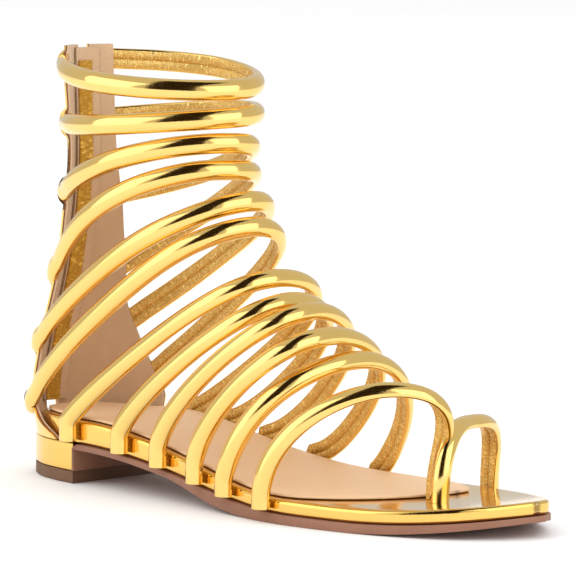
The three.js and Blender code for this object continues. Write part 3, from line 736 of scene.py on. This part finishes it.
def quarter(side):
    sign = 1 if side == "medial" else -1
    form = quarterForm

    def span(z):
        return angleAt(z, form["zipHalf"]), reachAngle(z, side)

    def swellAt(z, angle):
        most = 0.0
        for end in ends[side]:
            centre = end["z"] + end["climb"] * (end["angle"] - angle)
            off = abs(z - centre) / form["swellHalf"]
            if off < 1:
                most = max(most, math.sqrt(1 - off * off))
        _, edge = span(z)
        return most * smooth(clamp((angle - edge + form["pocketLength"]) / form["pocketLength"]))

    bm = bmesh.new()
    bmesh.ops.create_grid(bm, x_segments=form["columns"], y_segments=form["rows"], size=0.5)
    outer = list(bm.verts)
    where = {v: (v.co.x + 0.5, v.co.y + 0.5) for v in outer}
    outerFaces = list(bm.faces)
    grown = bmesh.ops.extrude_face_region(bm, geom=outerFaces)["geom"]
    lining = [g for g in grown if isinstance(g, bmesh.types.BMVert)]
    liningSet = set(lining)
    where.update({v: (v.co.x + 0.5, v.co.y + 0.5) for v in lining})
    for face in bm.faces:
        inside = sum(1 for v in face.verts if v in liningSet)
        face.material_index = 0 if inside == 0 else (1 if inside == len(face.verts) else 2)
    rimEdges = [e for e in bm.edges if (e.verts[0] in liningSet) != (e.verts[1] in liningSet)]
    for vert in outer + lining:
        s, t = where[vert]
        z = mix(form["lowZ"], form["topZ"], t)
        start, stop = span(z)
        angle = mix(start, stop, s)
        swell = swellAt(z, angle)
        if vert in liningSet:
            out = -form["thickness"] - form["pocket"] * swell
        else:
            out = form["swell"] * swell
        vert.co = inShoe(onAnkle(z, sign * angle, out))
    liningAt = {v.co.copy().freeze() for v in lining}
    outerAt = {v.co.copy().freeze() for v in outer}
    bmesh.ops.subdivide_edges(bm, edges=rimEdges, cuts=2, use_grid_fill=True)
    for face in bm.faces:
        if face.material_index == 2:  # the cut edge: gold leather, brown cut fibres, then the lining
            corners = [v.co.copy().freeze() for v in face.verts]
            if any(c in outerAt for c in corners):
                face.material_index = 0
            elif any(c in liningAt for c in corners):
                face.material_index = 1
    return finishPiece(bm, f"quarter_{side}", [mirrorGold, suede, rawEdge], sharpAngle=50)


for side in ("medial", "lateral"):
    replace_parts(quarter(side), f"back_quarter_{side}")
print("quarters made")

# ---------- zip ----------

zipForm = {"tapeHalf": 6.5, "tapeOut": -2.3, "tapeThickness": 0.8, "low": 26.5, "top": 162.5,
           "guardHalf": 4.1, "guardShift": -1.3, "guardTop": 157.5, "guardGap": 0.3, "guardThickness": 0.6}
toothForm = {"pitch": 2.0, "size": (1.1, 2.6, 1.15), "out": 0.45, "aside": 0.55, "bevel": 0.18,
             "firstAbove": 3, "clearOfSlider": 12}


def backStrip(name, half, outside, inside, low, high, materials, puff=0.0, shift=0.0):
    bm = bmesh.new()
    across = bm.verts.layers.float.new("across")
    lengthwise = bm.verts.layers.float.new("lengthwise")
    bmesh.ops.create_grid(bm, x_segments=8, y_segments=120, size=0.5)
    outer = list(bm.verts)
    where = {v: (v.co.x + 0.5, v.co.y + 0.5) for v in outer}
    grown = bmesh.ops.extrude_face_region(bm, geom=list(bm.faces))["geom"]
    back = set(g for g in grown if isinstance(g, bmesh.types.BMVert))
    where.update({v: (v.co.x + 0.5, v.co.y + 0.5) for v in back})
    for vert, (s, t) in where.items():
        z = mix(low, high, t)
        wide = mix(-1, 1, s)
        off = wide * half + shift
        angle = math.copysign(angleAt(z, abs(off) + 1e-6), off)
        wave = puff * (1 - wide * wide) * (1 + 0.35 * math.sin(z * 0.9) * math.sin(z * 0.37 + 2 * wide))
        vert.co = inShoe(onAnkle(z, angle, (inside - wave) if vert in back else outside))
        vert[across], vert[lengthwise] = wide * half, z
    if len(materials) > 1:  # the lining covers the tape's two inner borders
        for face in bm.faces:
            if all(v in back for v in face.verts):
                face.material_index = 1
    return finishPiece(bm, name, materials, sharpAngle=50)


tapeIn = zipForm["tapeOut"] - zipForm["tapeThickness"]
tape = backStrip("zip_cloth", zipForm["tapeHalf"], zipForm["tapeOut"], tapeIn, zipForm["low"], zipForm["top"],
                 [zipCloth, suede])
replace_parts(tape, "zip_tape")
guardOut = tapeIn - zipForm["guardGap"]
guard = backStrip("zip_flap", zipForm["guardHalf"], guardOut, guardOut - zipForm["guardThickness"],
                  zipForm["low"], zipForm["guardTop"], [guardGold],
                  puff=1.0, shift=zipForm["guardShift"])
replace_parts(guard, "zip_guard")


def zipTeeth():
    bm = bmesh.new()
    count = int((zipForm["top"] - zipForm["low"] - toothForm["clearOfSlider"]) / toothForm["pitch"])
    for i in range(count):
        for sign in (-1, 1):  # the two rows stand half a pitch apart
            z = zipForm["low"] + toothForm["firstAbove"] + (i + max(0, sign) / 2) * toothForm["pitch"]
            made = bmesh.ops.create_cube(bm, size=1)["verts"]
            bmesh.ops.scale(bm, vec=Vector(toothForm["size"]) * mm, verts=made)
            at = onAnkle(z, 0, zipForm["tapeOut"] + toothForm["out"])
            at.y += sign * toothForm["aside"]
            bmesh.ops.translate(bm, vec=inShoe(at), verts=made)
    bmesh.ops.bevel(bm, geom=list(bm.edges), offset=toothForm["bevel"] * mm, offset_type="OFFSET",
                    affect="EDGES", segments=1, profile=0.5, material=-1)
    mesh = bpy.data.meshes.new("zip_teeth")
    bm.to_mesh(mesh)
    bm.free()
    mesh.materials.append(zipMetal)
    piece = bpy.data.objects.new("zip_teeth", mesh)
    scene.collection.objects.link(piece)
    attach(piece, shoeBody)
    return piece


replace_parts(zipTeeth(), "zip_tape")
refinedCopy("zip_slider_body", "zip_slider", 0.2, zipMetal)
refinedCopy("zip_pull_tab", "zip_pull", 0.15, zipMetal, body="zip_pull")
print("zip made")

# ---------- studio ----------


def stageThing(name, bm, color, roughness, specular):
    mesh = bpy.data.meshes.new(name)
    bm.to_mesh(mesh)
    bm.free()
    material = bpy.data.materials.new(name)
    material.use_nodes = True
    shader = material.node_tree.nodes["Principled BSDF"]
    shader.inputs["Base Color"].default_value = color + (1,)
    shader.inputs["Roughness"].default_value = roughness
    shader.inputs["Specular IOR Level"].default_value = specular
    mesh.materials.append(material)
    thing = bpy.data.objects.new(name, mesh)
    scene.collection.objects.link(thing)
    return thing


def floor(spec):
    bm = bmesh.new()
    bmesh.ops.create_grid(bm, x_segments=1, y_segments=1, size=spec["size"] / 2)
    bmesh.ops.translate(bm, vec=Vector((0, 0, -spec["below"])), verts=bm.verts)
    stageThing("floor", bm, spec["color"], roughness=0.8, specular=0.5)


floor({"size": 14, "below": 0.0001, "color": (0.9, 0.9, 0.9)})


def areaLight(name, size, at, power):
    data = bpy.data.lights.new(name, "AREA")
    data.size = size
    data.energy = power
    light = bpy.data.objects.new(name, data)
    scene.collection.objects.link(light)
    back = at - Vector((0, 0, 0.07))  # lights face the middle of the shoe
    light.matrix_world = Matrix.Translation(at) @ back.to_track_quat("Z", "Y").to_matrix().to_4x4()
    return light


def besideCamera(turn):
    # level direction from the shoe, turned in degrees from the camera's
    flat = Vector((towardsCamera.x, towardsCamera.y, 0)).normalized()
    return Matrix.Rotation(math.radians(turn), 3, "Z") @ flat


def darkArch(spec):
    # a dark strip that stands to the left of the camera and curves over the shoe
    flat = besideCamera(spec["aside"])
    across = Vector((-flat.y, flat.x, 0))
    bm = bmesh.new()
    pair = [bm.verts.new(flat * spec["radius"] + across * spec["width"] / 2 * k) for k in (-1, 1)]
    bmesh.ops.spin(bm, geom=pair + [bm.edges.new(pair)], cent=Vector((0, 0, 0)), axis=across,
                   dvec=Vector((0, 0, 0)), angle=-math.radians(spec["turn"]), steps=24)
    for vert in bm.verts:
        vert.co -= across * vert.co.dot(across) * spec["narrowing"] * clamp(vert.co.z / spec["radius"])
    arch = stageThing("dark_arch", bm, spec["color"], roughness=1.0, specular=0.0)
    arch.visible_camera = False
    arch.visible_diffuse = False
    arch.visible_shadow = False


darkArch({"aside": -22, "radius": 2.6, "width": 1.9, "turn": 100, "narrowing": 0.3,
          "color": (0.02, 0.012, 0.006)})

world = bpy.data.worlds.new("studio")
scene.world = world
world.use_nodes = True
world.node_tree.nodes["Background"].inputs["Color"].default_value = (1, 1, 1, 1)
background = world.node_tree.nodes["Background"]
seen = world.node_tree.nodes.new("ShaderNodeLightPath")
strength = world.node_tree.nodes.new("ShaderNodeMix")
strength.inputs[2].default_value = 0.66  # light on the shoe
strength.inputs[3].default_value = 1.0  # the plain white backdrop itself
world.node_tree.links.new(seen.outputs["Is Camera Ray"], strength.inputs[0])
world.node_tree.links.new(strength.outputs[0], background.inputs["Strength"])


softbox = {"distance": 1.9, "size": 1.9, "height": 0.85, "power": 13}
for name, turn in (("left_softbox", -76), ("right_softbox", 34)):  # degrees round from the camera
    at = besideCamera(turn) * softbox["distance"] + Vector((0, 0, softbox["height"]))
    areaLight(name, softbox["size"], at, softbox["power"])
areaLight("ceiling", 12, Vector((0, 0, 3.2)), 300).visible_glossy = False
scene.view_settings.view_transform = "Standard"
print("studio made")
